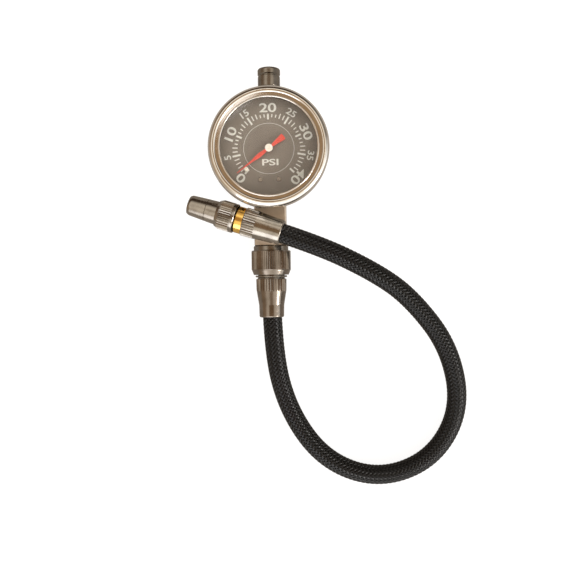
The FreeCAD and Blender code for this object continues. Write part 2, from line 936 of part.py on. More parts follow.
def chuck_sleeve():
    """Knurled grip and tapered nose in one piece, which slides back over the brass ring."""
    body = new_body("chuck_sleeve")
    ring_bore = d.core_ring_r + 0.1
    back_bore = d.sleeve_travel - 0.5
    mark = 10.9
    slope = (d.nose_root_r - d.nose_tip_r) / d.sleeve_nose
    mark_r = d.nose_tip_r + slope * mark
    turn_profile(
        body,
        [
            (d.nose_bore + 0.15, 0),
            (d.nose_tip_r - 0.75, 0, 3.6),
            (d.nose_tip_r, 2.2),
            (mark_r, mark - 0.18),
            (mark_r - 0.25, mark),
            (mark_r, mark + 0.18),
            (d.nose_root_r, d.sleeve_nose),
            (d.nose_root_r + 0.7, d.sleeve_nose + 0.15),
            (d.sleeve_r, d.sleeve_nose + 2.4),
            (d.sleeve_r, d.sleeve_len - 2.0),
            (d.sleeve_r - 0.35, d.sleeve_len - 1.85),
            (d.sleeve_r - 0.35, d.sleeve_len - 1.5),
            (d.sleeve_r - 0.05, d.sleeve_len - 1.35),
            (d.sleeve_r - 0.05, d.sleeve_len - 0.3),
            (d.sleeve_r - 0.3, d.sleeve_len),
            (ring_bore, d.sleeve_len),
            (ring_bore, d.sleeve_len - back_bore),
            (d.chuck_guide_r, d.sleeve_len - back_bore),
            (d.chuck_guide_r, d.stem_start),
            (d.nose_bore, d.stem_start),
            (d.nose_bore, 0.2),
        ],
    )
    knurl(body, d.sleeve_r, d.sleeve_nose + 0.4, d.sleeve_knurl_len, d.sleeve_knurls, 0.5)
    on_chuck(body)


def chuck_seal():
    body = turned(
        "chuck_seal",
        [
            (d.chuck_bore, d.seal_seat + d.running_gap),
            (d.chuck_stem_r - d.running_gap, d.seal_seat + d.running_gap),
            (d.chuck_stem_r - d.running_gap, d.stem_start - d.running_gap),
            (d.chuck_bore, d.stem_start - d.running_gap),
        ],
    )
    on_chuck(body)


def depressor_pin():
    """Pushes the tyre valve's own pin in; its foot has two flats that let the air past."""
    body = new_body("depressor_pin")
    foot = d.chuck_bore - 0.02
    start = d.depressor_start
    foot_start = d.stem_start + 1.4
    foot_end = foot_start + 2.0
    turn_profile(
        body,
        [
            (0, start),
            (d.depressor_r - 0.3, start),
            (d.depressor_r, start + 0.4),
            (d.depressor_r, foot_start),
            (foot, foot_start),
            (foot, foot_end),
            (0, foot_end),
        ],
    )
    for side in (-1, 1):
        flat = sketch_on(body, "XY_Plane", foot_start - 0.1)
        outline(
            flat,
            sorted_box(side * 1.0, side * 2.0, -2.0, 2.0),
        )
        pocket(body, flat, 2.3, reverse=True)
    on_chuck(body)


def sorted_box(x0, x1, y0, y1):
    """Four corners of an upright box, anticlockwise."""
    low, high = sorted((value_of(x0), value_of(x1)))
    return [(low, y0), (high, y0), (high, y1), (low, y1)]


# Springs: a wire along pairs of arcs, one pair to each half turn
def biarc(p0, t0, p1, t1):
    """Two arcs in line with each other, from one place and direction to another."""
    chord = p1 - p0
    both = t0 + t1
    a = 2 * (1 - t0.dot(t1))
    b = 2 * chord.dot(both)
    c = -chord.dot(chord)
    reach = (-b + math.sqrt(b * b - 4 * a * c)) / (2 * a) if a > 1e-12 else -c / b
    near, far = p0 + t0 * reach, p1 - t1 * reach
    joint = (near + far) / 2
    arcs = []
    for start, tangent, end in ((p0, t0, joint), (joint, (far - near).normalize(), p1)):
        across = end - start
        along = across.dot(tangent)
        side = across - tangent * along
        radius = across.dot(across) / (2 * side.Length)
        centre = start + side.normalize() * radius
        middle = ((start + end) / 2 - centre).normalize() * radius + centre
        arcs.append(Part.Arc(start, middle, end).toShape())
    return arcs


WIRE_SIDES = 8


def coil_spring(label, radius, wire, length, turns):
    """Open coil about Z, from height 0 to its length; the wire's section is drawn with flat sides."""
    steps = turns * 2
    rise = length / steps
    climb = rise / math.pi

    def at(step):
        angle = step * math.pi
        place_at = Vector(radius * math.cos(angle), radius * math.sin(angle), step * rise)
        heading = Vector(-radius * math.sin(angle), radius * math.cos(angle), climb)
        return place_at, heading.normalize()

    edges = []
    for step in range(steps):
        p0, t0 = at(step)
        p1, t1 = at(step + 1)
        edges += biarc(p0, t0, p1, t1)
    start, heading = at(0)
    out = Vector(start.x, start.y, 0).normalize()
    up = heading.cross(out)
    turns_of_section = [2 * math.pi * k / WIRE_SIDES for k in range(WIRE_SIDES + 1)]
    corners = [start + (out * math.cos(a) + up * math.sin(a)) * wire / 2 for a in turns_of_section]
    shape = Part.Wire(edges).makePipeShell([Part.makePolygon(corners)], True, False)
    print(label, "gap between its turns", round(length / turns - wire, 2))
    return solid_feature(label, shape.Solids[0])


def core_spring():
    wire = value_of(d.core_spring_wire)
    chamber = value_of(d.valve_bore) - CHAMBER_WALL
    length = CORE_COLLAR - CORE_CHAMBER - wire - 0.1
    spring = coil_spring("core_spring", (value_of(d.core_pin_r) + chamber) / 2, wire, length, 5)
    place(spring, 0, core_station(CORE_CHAMBER + wire / 2 + 0.05), d.axis_height, TOWARDS_INLET)


def chuck_spring():
    wire = value_of(d.chuck_spring_wire)
    low, high = value_of(d.stem_start), value_of(d.stem_end)
    radius = value_of(d.chuck_guide_r) - wire / 2 - 0.2
    spring = coil_spring("chuck_spring", radius, wire, high - low - wire - 0.1, 4)
    on_chuck(spring, low + wire / 2 + 0.05)


# The gauge stands on the bar's front face and is screwed in slightly past upright
def in_gauge(feature, x=0.0, y=0.0, z=0.0, angle=0.0):
    """Place a piece in the gauge: x and y from its axis, z from the bar's front face."""
    frame = Placement(
        Vector(0, value_of(d.gauge_y), value_of(d.block_deep)),
        Rotation(Vector(0, 0, 1), value_of(d.gauge_turn)),
    )
    local = Placement(
        Vector(value_of(x), value_of(y), value_of(z)), Rotation(Vector(0, 0, 1), value_of(angle))
    )
    feature.Placement = frame.multiply(local)
    return feature


CASE_SCREW_ANGLES = (90, 210, 330)
CASE_SCREW_RADIUS = 9.6
CASE_SCREW_R = 1.2
PLUG_FROM_EDGE = 10.2
POINTER_AT_STOP = 0.33
case_floor = d.gauge_standoff + d.case_wall
case_rim = d.gauge_standoff + d.case_deep
lens_low = case_rim + d.gasket_thick
lens_top = lens_low + d.lens_thick
disc_top = case_floor + 2.0


def gauge_socket():
    """Brass stem of the gauge: pipe thread, hexagon, seat for the case, and the tube's foot."""
    body = new_body("gauge_socket")
    bore = 1.5
    thread = d.port_depth
    turn_profile(
        body,
        [
            (bore, 0),
            (d.port_r, 0),
            (d.port_r, thread),
            (d.socket_hex / 2 - 0.1, thread),
            (d.socket_hex / 2 - 0.1, thread + d.gauge_standoff - 0.1),
            (d.socket_neck_r, thread + d.gauge_standoff - 0.1),
            (d.socket_neck_r, thread + case_floor),
            (d.socket_disc_r, thread + case_floor),
            (d.socket_disc_r, thread + disc_top),
            (7.0, thread + disc_top),
            (7.0, thread + d.plate_height),
            (bore, thread + d.plate_height),
        ],
    )
    flats = sketch_on(body, "XY_Plane", thread)
    outline(flats, hexagon(d.socket_hex))
    circle(flats, 0, 0, bore)
    pad(body, flats, d.gauge_standoff - 0.2)
    arm = sketch_on(body, "XY_Plane", thread + case_floor)
    reach = d.tube_radius + 2.9
    outline(arm, [(2.0, -2.0), (reach, -2.0), (reach, 5.0), (2.0, 5.0)])
    pad(body, arm, 2.3)
    foot = sketch_on(body, "XY_Plane", thread + case_floor)
    near = d.tube_radius - 2.9
    outline(foot, [(near, 0), (reach, 0), (reach, 5.0), (near, 5.0)])
    pad(body, foot, d.tube_centre + d.tube_high / 2 + 0.5 - case_floor)
    turn = d.tube_tip_angle + d.tube_sweep
    threads = sketch_on(body, "XY_Plane", thread + case_floor)
    for angle in CASE_SCREW_ANGLES:
        hole = polar(CASE_SCREW_RADIUS, angle - turn)
        circle(threads, hole.x, hole.y, CASE_SCREW_R + d.running_gap)
    pocket(body, threads, disc_top - case_floor + 0.4, reverse=True)
    in_gauge(body, 0, 0, -d.port_depth, turn)


def gauge_case():
    body = new_body("gauge_case")
    wall = d.case_wall
    corner = d.case_corner
    neck_hole = d.socket_neck_r + 0.1
    turn_profile(
        body,
        [
            (neck_hole, 0),
            (d.case_r - corner, 0, corner),
            (d.case_r, corner),
            (d.case_r, d.case_deep),
            (d.case_r - wall, d.case_deep),
            (d.case_r - wall, corner, -(corner - wall)),
            (d.case_r - corner, wall),
            (neck_hole, wall),
        ],
    )
    holes = sketch_on(body, "XY_Plane", 0)
    for angle in CASE_SCREW_ANGLES:
        hole = polar(CASE_SCREW_RADIUS, angle)
        circle(holes, hole.x, hole.y, CASE_SCREW_R + 0.1)
    circle(holes, d.case_r - PLUG_FROM_EDGE, 0, 4.0)
    pocket(body, holes, wall + 1, reverse=True)
    in_gauge(body, 0, 0, d.gauge_standoff)


def case_screws():
    """Three screws that hold the case to the socket's disc, heads on the outside."""
    head = 1.15
    end = head + d.case_wall + 1.7
    screws = []
    for k, angle in enumerate(CASE_SCREW_ANGLES, start=1):
        screw = turned(
            f"case_screw_{k}",
            [
                (0, 0.15),
                (1.5, 0),
                (1.9, 0.35),
                (1.9, head),
                (CASE_SCREW_R, head),
                (CASE_SCREW_R, end),
                (0, end),
            ],
        )
        at = polar(CASE_SCREW_RADIUS, angle)
        screws.append(in_gauge(screw, at.x, at.y, d.gauge_standoff - head - 0.05))
    compound("case_screws", screws)


def relief_plug():
    """Rubber plug in the back of the case, which blows out if the tube bursts."""
    neck = 3.9
    wall = d.case_wall
    body = turned(
        "relief_plug",
        [
            (0, 0),
            (4.8, 0),
            (5.0, 0.2),
            (5.0, 0.85),
            (neck, 0.85),
            (neck, wall + 0.95),
            (4.6, wall + 0.95),
            (4.0, wall + 1.6),
            (0, wall + 1.6),
        ],
    )
    in_gauge(body, d.case_r - PLUG_FROM_EDGE, 0, d.gauge_standoff - 0.9)


def bezel():
    """Rolled ring: flat annulus round the window between two beads, then a full roll down the side."""
    body = new_body("bezel")
    top = lens_top + d.lip_thick
    skirt = top - d.bezel_skirt
    bore = d.case_r + 0.1
    turn_profile(
        body,
        [
            (bore, skirt + 0.4),
            (bore + 0.5, skirt, 1.2),
            (d.bezel_r, skirt + 1.0),
            (d.bezel_r, top - 3.4, 3.4),
            (d.bezel_r - 2.4, top, 1.6),
            (d.bezel_r - 4.1, top - 0.4),
            (d.window_r + 1.1, top - 0.4, 0.6),
            (d.window_r, top - 0.5),
            (d.window_r, lens_top + 0.05),
            (bore, lens_top + 0.05),
        ],
    )
    in_gauge(body)


def lens_gasket():
    body = turned(
        "lens_gasket",
        [
            (d.window_r + 0.7, case_rim),
            (d.case_r, case_rim),
            (d.case_r, lens_low),
            (d.window_r + 0.7, lens_low),
        ],
    )
    in_gauge(body)


def lens():
    edge = d.case_r - 0.2
    body = turned(
        "lens",
        [
            (0, lens_low),
            (edge, lens_low),
            (edge, lens_top - 0.4),
            (edge - 0.4, lens_top),
            (0, lens_top),
        ],
    )
    in_gauge(body)


def dial():
    body = new_body("dial")
    sheet_plan = sketch_on(body, "XY_Plane")
    circle(sheet_plan, 0, 0, d.dial_r)
    circle(sheet_plan, 0, 0, 1.6)
    for side in (-1, 1):
        circle(sheet_plan, d.dial_screw_x * side, -d.dial_screw_y, 0.9)
    stop = polar(d.stop_radius, d.stop_angle)
    circle(sheet_plan, stop.x, stop.y, 0.55)
    pad(body, sheet_plan, d.dial_thick)
    in_gauge(body, 0, 0, d.dial_height)


def pointer_rest():
    """Direction of the pointer where it lies against the stop pin."""
    clear = value_of(d.stop_pin_r) + POINTER_AT_STOP + 0.1
    return value_of(d.stop_angle) - math.degrees(clear / value_of(d.stop_radius))


def polar(radius, angle):
    spread = math.radians(value_of(angle))
    return Vector(value_of(radius) * math.cos(spread), value_of(radius) * math.sin(spread), 0)


def dial_screws():
    """Two flat-headed screws with a slot each, turned to different places."""
    shank = 3.2
    top = shank + 0.7
    screws = []
    for side in (-1, 1):
        screw = turned(
            f"dial_screw_{side + 2}",
            [(0, 0), (0.85, 0), (0.85, shank), (1.35, shank), (1.35, top - 0.15), (1.2, top), (0, top)],
        )
        slot = sketch_on(screw, "XY_Plane", top)
        outline(slot, sorted_box(-2.0, 2.0, -0.2, 0.2))
        pocket(screw, slot, 0.4)
        head_low = d.dial_height + d.dial_thick + 0.05
        in_gauge(screw, d.dial_screw_x * side, -d.dial_screw_y, head_low - shank, 35 * side)
        screws.append(screw)
    compound("dial_screws", screws)


def stop_pin():
    shank = 1.4
    body = turned(
        "stop_pin",
        [
            (0, 0),
            (0.5, 0),
            (0.5, shank),
            (d.stop_pin_r, shank),
            (d.stop_pin_r, shank + 2.8),
            (d.stop_pin_r - 0.3, shank + 3.2),
            (0, shank + 3.2),
        ],
    )
    stop = polar(d.stop_radius, d.stop_angle)
    in_gauge(body, stop.x, stop.y, d.dial_height + d.dial_thick - shank + 0.02)


def pointer():
    """Stamped pointer: spade near the hub, a fine tip, and a flared tail on the other side."""
    body = new_body("pointer")
    plan = sketch_on(body, "XY_Plane", d.pointer_height)
    tail_x = 0.4 - d.pointer_tail
    outline(
        plan,
        [
            (1.9, -0.85),
            (6.5, -1.2),
            (8.6, -1.05),
            (12.4, -0.5),
            (d.pointer_len, -0.17),
            (d.pointer_len, 0.17),
            (12.4, 0.5),
            (8.6, 1.05),
            (6.5, 1.2),
            (1.9, 0.85),
            (-1.9, 0.65),
            (tail_x, 1.9, 5.0),
            (tail_x, -1.9),
            (-1.9, -0.65),
        ],
    )
    pad(body, plan, 0.4)
    bush = sketch_on(body, "XY_Plane", d.pointer_height - 0.9)
    circle(bush, 0, 0, 1.9)
    pad(body, bush, 1.35)
    bore = sketch_on(body, "XY_Plane", d.pointer_height - 1)
    circle(bore, 0, 0, d.staff_r + 0.02)
    pocket(body, bore, 1.4, reverse=True)
    in_gauge(body, 0, 0, 0, pointer_rest())


def pointer_hub():
    low = d.pointer_height + 0.48
    body = turned(
        "pointer_hub",
        [(0, 0), (2.2, 0), (2.2, 0.7), (1.8, 1.1), (0.95, 1.1), (0.75, 0.6), (0, 0.6)],
    )
    in_gauge(body, 0, 0, low, pointer_rest())


# The movement: the tube's tip pulls a link, which turns the toothed sector and the pinion
centre_distance = d.gear_module * (d.pinion_teeth + d.sector_full_teeth) / 2


def movement_plate(label, half_wide, top, bottom, bosses):
    """Rounded plate with the two arbors' pivot holes."""
    body = new_body(label)
    plan = sketch_on(body, "XY_Plane")
    corner = 2.0
    outline(
        plan,
        [
            (-half_wide + corner, -bottom),
            (half_wide - corner, -bottom, corner),
            (half_wide, -bottom + corner),
            (half_wide, top - corner, corner),
            (half_wide - corner, top),
            (-half_wide + corner, top, corner),
            (-half_wide, top - corner),
            (-half_wide, -bottom + corner, corner),
        ],
    )
    circle(plan, 0, 0, d.staff_r + d.running_gap)
    circle(plan, 0, -centre_distance, d.staff_r + d.running_gap)
    pad(body, plan, d.plate_thick)
    if bosses:
        posts = sketch_on(body, "XY_Plane", d.plate_thick)
        for side in (-1, 1):
            circle(posts, d.dial_screw_x * side, -d.dial_screw_y, 1.7)
        pad(body, posts, d.dial_gap)
        screws = sketch_on(body, "XY_Plane", 0)
        for side in (-1, 1):
            circle(screws, d.dial_screw_x * side, -d.dial_screw_y, 0.9)
        pocket(body, screws, 6.0, reverse=True)
        stud = sketch_on(body, "XY_Plane", 0)
        circle(stud, 5.62, 0, 0.45)
        pad(body, stud, 1.3, reverse=True)
    return body


def movement_plates():
    back = movement_plate("movement_back_plate", as_size(6.5), 5.0, centre_distance + 2.8, False)
    in_gauge(back, 0, 0, d.plate_height)
    front_half = d.dial_screw_x + 2.4
    front = movement_plate("movement_front_plate", front_half, 5.0, d.dial_screw_y + 2.5, True)
    in_gauge(front, 0, 0, d.front_plate_low)


PILLARS = ((-5.0, 3.4), (5.0, 3.4), (-4.7, -1.2 - centre_distance))


def movement_pillars():
    posts = []
    for i, (x, y) in enumerate(PILLARS):
        post = doc.addObject("Part::Cylinder", f"movement_pillar_{i + 1}")
        bind(post, "Radius", as_size(1.1))
        bind(post, "Height", d.plate_gap)
        keep(post)
        posts.append(in_gauge(post, x, y, d.plate_height + d.plate_thick))
    compound("movement_pillars", posts)


def tooth_points(teeth, module, backlash, middle):
    """Corners of one stub tooth centred on an angle, up one involute flank and down the other."""
    pitch_r = module * teeth / 2
    pressure = math.radians(20)
    base_r = pitch_r * math.cos(pressure)
    tip_r = pitch_r + 0.75 * module
    root_r = pitch_r - 1.0 * module
    half_pitch = math.pi / (2 * teeth) - backlash / (2 * pitch_r)

    def half_angle(radius):
        slant = math.acos(min(base_r / radius, 1))
        return half_pitch + (math.tan(pressure) - pressure) - (math.tan(slant) - slant)

    flank = [root_r, max(base_r, root_r + 0.02), pitch_r, (pitch_r + tip_r) / 2, tip_r]
    rising = [(radius, middle - half_angle(max(radius, base_r))) for radius in flank]
    falling = [(radius, middle + half_angle(max(radius, base_r))) for radius in reversed(flank)]
    return [Vector(r * math.cos(a), r * math.sin(a), 0) for r, a in rising + falling]


def closed_plate(points, thick):
    wire = Part.makePolygon(points + [points[0]])
    return Part.Face(wire).extrude(Vector(0, 0, thick))


def round_bar(radius, height, low, x=0.0, y=0.0):
    return Part.makeCylinder(radius, height, Vector(x, y, low))


def pinion():
    """Pinion cut on the pointer's staff; a gap between teeth faces the sector at rest."""
    teeth = int(value_of(d.pinion_teeth))
    points = []
    for k in range(teeth):
        middle = math.radians(-90) + math.pi / teeth + 2 * math.pi * k / teeth
        points += tooth_points(teeth, value_of(d.gear_module), value_of(d.gear_backlash), middle)
    gear = closed_plate(points, value_of(d.plate_gap) - 3.4)
    gear.translate(Vector(0, 0, value_of(d.sector_height) - 0.9))
    low = value_of(d.plate_height) + 0.05
    staff = round_bar(value_of(d.staff_r), value_of(d.pointer_height) + 0.4 - low, low)
    shape = gear.fuse(staff).removeSplitter()
    in_gauge(solid_feature("pinion", shape.Solids[0]))


def sector_gear():
    """Toothed fan, hub and tail on one arbor; its teeth run from the rest place to full scale."""
    full = int(value_of(d.sector_full_teeth))
    module = value_of(d.gear_module)
    thick = value_of(d.sector_thick)
    step = 2 * math.pi / full
    points = []
    for k in range(12, -3, -1):
        middle = math.radians(90) - k * step
        points += tooth_points(full, module, value_of(d.gear_backlash), middle)
    points += [Vector(-1.9, 0.8, 0), Vector(-1.2, -1.2, 0), Vector(1.9, -0.6, 0)]
    fan = closed_plate(points, thick)
    rim = module * full / 2
    window = []
    for radius, angle in ((4.2, 84), (rim - 2.6, 90), (rim - 2.6, 68), (rim - 2.6, 47), (4.2, 53)):
        window.append(polar(radius, angle))
    window_cut = closed_plate(window, thick)
    fan = fan.cut(window_cut)
    tail_end = polar(d.tail_radius, d.tail_angle)
    side = Vector(-tail_end.y, tail_end.x, 0).normalize()
    reach = polar(d.tail_radius + 1.2, d.tail_angle)
    tail = closed_plate([side * -1.3, reach - side * 0.9, reach + side * 0.9, side * 1.3], thick)
    height = value_of(d.sector_height)
    plates = fan.fuse(tail)
    plates.translate(Vector(0, 0, height))
    hub = round_bar(1.6, 3.6, height - 1.4)
    low = value_of(d.plate_height) + 0.1
    arbor = round_bar(value_of(d.staff_r), value_of(d.front_plate_low) + 0.7 - low, low)
    pin = round_bar(TAIL_PIN_R, 2.5, height - 0.4, tail_end.x, tail_end.y)
    shape = plates.fuse([hub, arbor, pin]).removeSplitter()
    in_gauge(solid_feature("sector_gear", shape.Solids[0]), 0, -centre_distance, 0)


TAIL_PIN_R = 0.45


def link_ends():
    """Where the link's two pins are, from the gauge's axis."""
    near = polar(d.tail_radius, d.tail_angle) - Vector(0, value_of(centre_distance), 0)
    return near, polar(d.tube_radius - d.link_pin_inset, d.link_pin_angle)


def link_rod():
    """Flat bar with an eye over each pin."""
    near, far = link_ends()
    run = far - near
    length = run.Length
    thick = value_of(d.link_thick)
    bar = Part.makeBox(length, 1.1, thick, Vector(0, -0.55, 0))
    eyes = [round_bar(1.1, thick, 0, x) for x in (0.0, length)]
    holes = [round_bar(TAIL_PIN_R + 0.05, thick, 0, x) for x in (0.0, length)]
    shape = bar.fuse(eyes).removeSplitter().cut(Part.makeCompound(holes))
    feature = solid_feature("link_rod", shape.Solids[0])
    turn = math.degrees(math.atan2(run.y, run.x))
    in_gauge(feature, near.x, near.y, d.sector_height + d.sector_thick + 0.2, turn)


def tube_tip():
    """End piece soldered to the tube, with an ear and pin for the link."""
    near, far = link_ends()
    height = value_of(d.tube_high)
    low = value_of(d.tube_centre) - height / 2
    half = value_of(d.tube_wide) / 2 + 0.7
    angle = value_of(d.tube_tip_angle)
    block = Part.makeBox(2 * half, 3.4, height, Vector(value_of(d.tube_radius) - half, -3.45, low))
    block.rotate(Vector(), Vector(0, 0, 1), angle)
    ear_z = value_of(d.sector_height)
    thick = value_of(d.sector_thick)
    middle = polar(value_of(d.tube_radius) - half + 0.5, angle) + polar(1.8, angle - 90)
    along = (far - middle).normalize()
    side = Vector(-along.y, along.x, 0) * 1.2
    ear = closed_plate([middle - side, far - side, far + side, middle + side], thick)
    ear = ear.fuse(round_bar(1.2, thick, 0, far.x, far.y))
    ear.translate(Vector(0, 0, ear_z))
    pin = round_bar(TAIL_PIN_R, 2.5, ear_z - 0.4, far.x, far.y)
    shape = block.fuse([ear, pin]).removeSplitter()
    in_gauge(solid_feature("tube_tip", shape.Solids[0]))


def stadium(width, height, centre):
    """Flat-sided oval about a centre height, at the tube's radius."""
    half = width / 2
    rise = height / 2 - half
    end_r = half * 1.2
    return [
        (d.tube_radius - half, centre - rise, end_r),
        (d.tube_radius + half, centre - rise),
        (d.tube_radius + half, centre + rise, end_r),
        (d.tube_radius - half, centre + rise),
    ]


def bourdon_tube():
    """Flattened bronze tube bent three quarters round; pressure opens it and moves its tip."""
    body = new_body("bourdon_tube")
    wall = d.tube_wall
    turn_profile(
        body,
        stadium(d.tube_wide, d.tube_high, d.tube_centre),
        stadium(d.tube_wide - wall * 2, d.tube_high - wall * 2, d.tube_centre),
        d.tube_sweep,
    )
    in_gauge(body, 0, 0, 0, d.tube_tip_angle)


def hairspring():
    """Flat spiral of half circles that takes the play out of the teeth."""
    thick = 0.12
    edges = []
    rims = []
    for shift in (-thick / 2, thick / 2):
        here = Vector(1.35 + shift, 0, 0)
        first = here
        radius = 1.35
        arcs = []
        for k in range(7):
            grow = radius + 0.53
            sign = 1 if k % 2 == 0 else -1
            to = Vector(-sign * (grow + shift), 0, 0)
            middle_x = (here.x + to.x) / 2
            bulge = Vector(middle_x, sign * abs(here.x - to.x) / 2, 0)
            arcs.append(Part.Arc(here, bulge, to).toShape())
            here = to
            radius = grow
        rims.append((first, here, arcs))
    inner, outer = rims
    edges += inner[2]
    edges.append(Part.LineSegment(inner[1], outer[1]).toShape())
    edges += list(reversed(outer[2]))
    edges.append(Part.LineSegment(outer[0], inner[0]).toShape())
    face = Part.Face(Part.Wire(Part.sortEdges(edges)[0]))
    band = face.extrude(Vector(0, 0, 0.6))
    collet = round_bar(1.32, 0.8, -0.1).cut(round_bar(value_of(d.staff_r) + 0.01, 0.8, -0.1))
    shape = collet.fuse(band)
    in_gauge(solid_feature("hairspring", shape.Solids[0]), 0, 0, d.front_plate_low - 1.2, 180)


SUB_PARTS = (
    body_block,
    inlet_stem,
    inlet_core,
    core_pin,
    core_spring,
    dust_cap,
    cap_seal,
    bleed_spigot,
    bleed_collar,
    bleed_seals,
    retaining_ring,
    hose_fitting,
    hose_ferrule,
    hose,
    chuck_core,
    chuck_collet,
    chuck_sleeve,
    chuck_spring,
    chuck_seal,
    depressor_pin,
    gauge_socket,
    gauge_case,
    case_screws,
    relief_plug,
    bezel,
    lens_gasket,
    lens,
    dial,
    dial_screws,
    stop_pin,
    pointer,
    pointer_hub,
    movement_plates,
    movement_pillars,
    pinion,
    sector_gear,
    link_rod,
    tube_tip,
    bourdon_tube,
    hairspring,
)
for make in SUB_PARTS:
    make()
on_chuck(ferrule("chuck_ferrule", d.chuck_ferrule_r), d.core_ring_end)
doc.recompute()

# Every object and every piece is sound before anything is written
faults = [item.Name for item in doc.Objects if {"Invalid", "Error"} & set(item.State)]
for label, piece in nodes.items():
    if piece.Shape.isNull() or not piece.Shape.isValid() or not piece.Shape.Solids:
        faults.append(label)
if faults:
    raise SystemExit(f"failed: {faults}")
os.makedirs("parts", exist_ok=True)
for label, piece in nodes.items():
    piece.Shape.exportStep(os.path.join("parts", f"{label}.step"))
print(len(nodes), "nodes written")
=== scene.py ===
# %% [markdown]
# A hand inflator for tyres lies on its back: a round dial gauge on a metal bar, a capped inlet at
# one end, and at the other a sliding bleed collar and a short braided hose that loops round to a
# chuck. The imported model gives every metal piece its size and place. This notebook adds the finish
# of each piece, the braided hose at its real length, and the printing on the dial.

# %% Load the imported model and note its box
import math

import bpy
from mathutils import Matrix, Vector


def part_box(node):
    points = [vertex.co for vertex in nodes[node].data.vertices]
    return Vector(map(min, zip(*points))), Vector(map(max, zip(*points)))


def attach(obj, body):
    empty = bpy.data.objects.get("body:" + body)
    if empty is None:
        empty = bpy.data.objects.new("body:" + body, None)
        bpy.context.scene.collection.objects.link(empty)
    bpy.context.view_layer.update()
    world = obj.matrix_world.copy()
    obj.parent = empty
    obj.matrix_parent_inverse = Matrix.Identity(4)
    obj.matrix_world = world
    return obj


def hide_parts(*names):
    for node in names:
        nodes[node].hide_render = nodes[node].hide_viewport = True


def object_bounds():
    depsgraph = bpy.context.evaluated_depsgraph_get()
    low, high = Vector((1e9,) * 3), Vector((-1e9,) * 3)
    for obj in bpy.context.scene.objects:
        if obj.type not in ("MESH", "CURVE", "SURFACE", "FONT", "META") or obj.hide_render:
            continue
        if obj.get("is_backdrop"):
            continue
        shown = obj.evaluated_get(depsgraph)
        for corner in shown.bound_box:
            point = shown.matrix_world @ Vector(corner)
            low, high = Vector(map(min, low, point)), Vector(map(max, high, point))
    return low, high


MM = 0.001
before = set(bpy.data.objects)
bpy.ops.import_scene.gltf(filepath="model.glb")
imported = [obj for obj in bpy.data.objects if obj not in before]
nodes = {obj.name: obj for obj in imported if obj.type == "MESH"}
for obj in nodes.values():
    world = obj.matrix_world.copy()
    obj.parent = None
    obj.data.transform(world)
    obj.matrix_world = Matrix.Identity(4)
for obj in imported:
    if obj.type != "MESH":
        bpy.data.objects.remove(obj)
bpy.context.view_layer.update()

# %% [markdown]
# The photograph was taken from straight above, from a little less than half a metre. A camera that
# near sees the raised gauge larger than the hose on the table, so its height matters as much as its
# lens. Both were found from circles and lengths whose real size is known. The camera was also held
# a little askew, which turns the picture by less than a degree.

# %% Camera
CAMERA_HEIGHT = 460 * MM
CAMERA_X = 8.15 * MM
CAMERA_Y = -55.5 * MM
CAMERA_ROLL = math.radians(-0.73)
PICTURE_SIDE = 570
FOCAL_PIXELS = 742.8
SENSOR = 36

bpy.ops.object.camera_add(
    location=(CAMERA_X, CAMERA_Y, CAMERA_HEIGHT),
    rotation=(0, 0, CAMERA_ROLL),
)
camera = bpy.context.object
camera.data.sensor_width = SENSOR
camera.data.lens = FOCAL_PIXELS / PICTURE_SIDE * SENSOR
camera.data.clip_start = 10 * MM
bpy.context.scene.camera = camera
print("lens", round(camera.data.lens, 1), "mm")

# %% [markdown]
# Shader nodes are many, but all are added in the same way: a kind, some settings, and for each
# input either a value or another node's output. One small function does that for every material.
# Colours are written as they look on a screen, in hex, and a second function turns them linear.

# %% Helpers for nodes and colours


def colour(hex_text, strength=1.0):
    """Linear colour of an sRGB hex value."""
    channels = [int(hex_text[i:i + 2], 16) / 255 for i in (1, 3, 5)]
    linear = [c / 12.92 if c <= 0.04045 else ((c + 0.055) / 1.055) ** 2.4 for c in channels]
    return (*[c * strength for c in linear], 1.0)


def add_node(tree, kind, inputs=None, **settings):
    """Add a node, set it up, and give each input a value or a link."""
    node = tree.nodes.new(kind)
    for name, value in settings.items():
        setattr(node, name, value)
    for name, value in (inputs or {}).items():
        if isinstance(value, bpy.types.NodeSocket):
            tree.links.new(value, node.inputs[name])
        else:
            node.inputs[name].default_value = value
    return node


def set_ramp(node, *stops):
    """Give a Color Ramp its stops, each a position and a colour."""
    elements = node.color_ramp.elements
    while len(elements) < len(stops):
        elements.new(0.5)
    for element, (position, shade) in zip(elements, stops):
        element.position = position
        element.color = shade


def new_material(name):
    """A material with only its Principled shader and output, and the tree that holds them."""
    material = bpy.data.materials.new(name)
    material.use_nodes = True
    tree = material.node_tree
    shader = next(node for node in tree.nodes if node.type == "BSDF_PRINCIPLED")
    return material, tree, shader


def show_instead(tree, node):
    """Send this shader node to the material's output in place of the Principled one."""
    output = next(found for found in tree.nodes if found.type == "OUTPUT_MATERIAL")
    tree.links.new(node.outputs[0], output.inputs["Surface"])


def add_object(name, data):
    """A new object for this mesh or curve, linked to the scene."""
    made = bpy.data.objects.new(name, data)
    bpy.context.scene.collection.objects.link(made)
    return made


# %% [markdown]
# Polished and plated metal has almost no colour of its own: it shows the room. The picture was
# taken indoors from overhead, so what faces straight up mirrors a brown ceiling, what leans a little
# mirrors pale walls, and what leans far mirrors a window low on the right and in front. A world
# that changes with direction gives the metal that room, while the camera sees plain white.

# %% World
CEILING = "#a98a6a"
CEILING_EDGE = "#b3987a"
UPPER_WALL = "#fff5e6"
UPPER_WALL_STRENGTH = 1.3
WINDOW_STRENGTH = 1.8
ROOM_STRENGTH = 0.95
LOWER_WALL = "#b9ab98"
WINDOW = "#fbfaf8"
LEFT_WALL = "#bfa68c"
BACK_WALL = "#473c33"

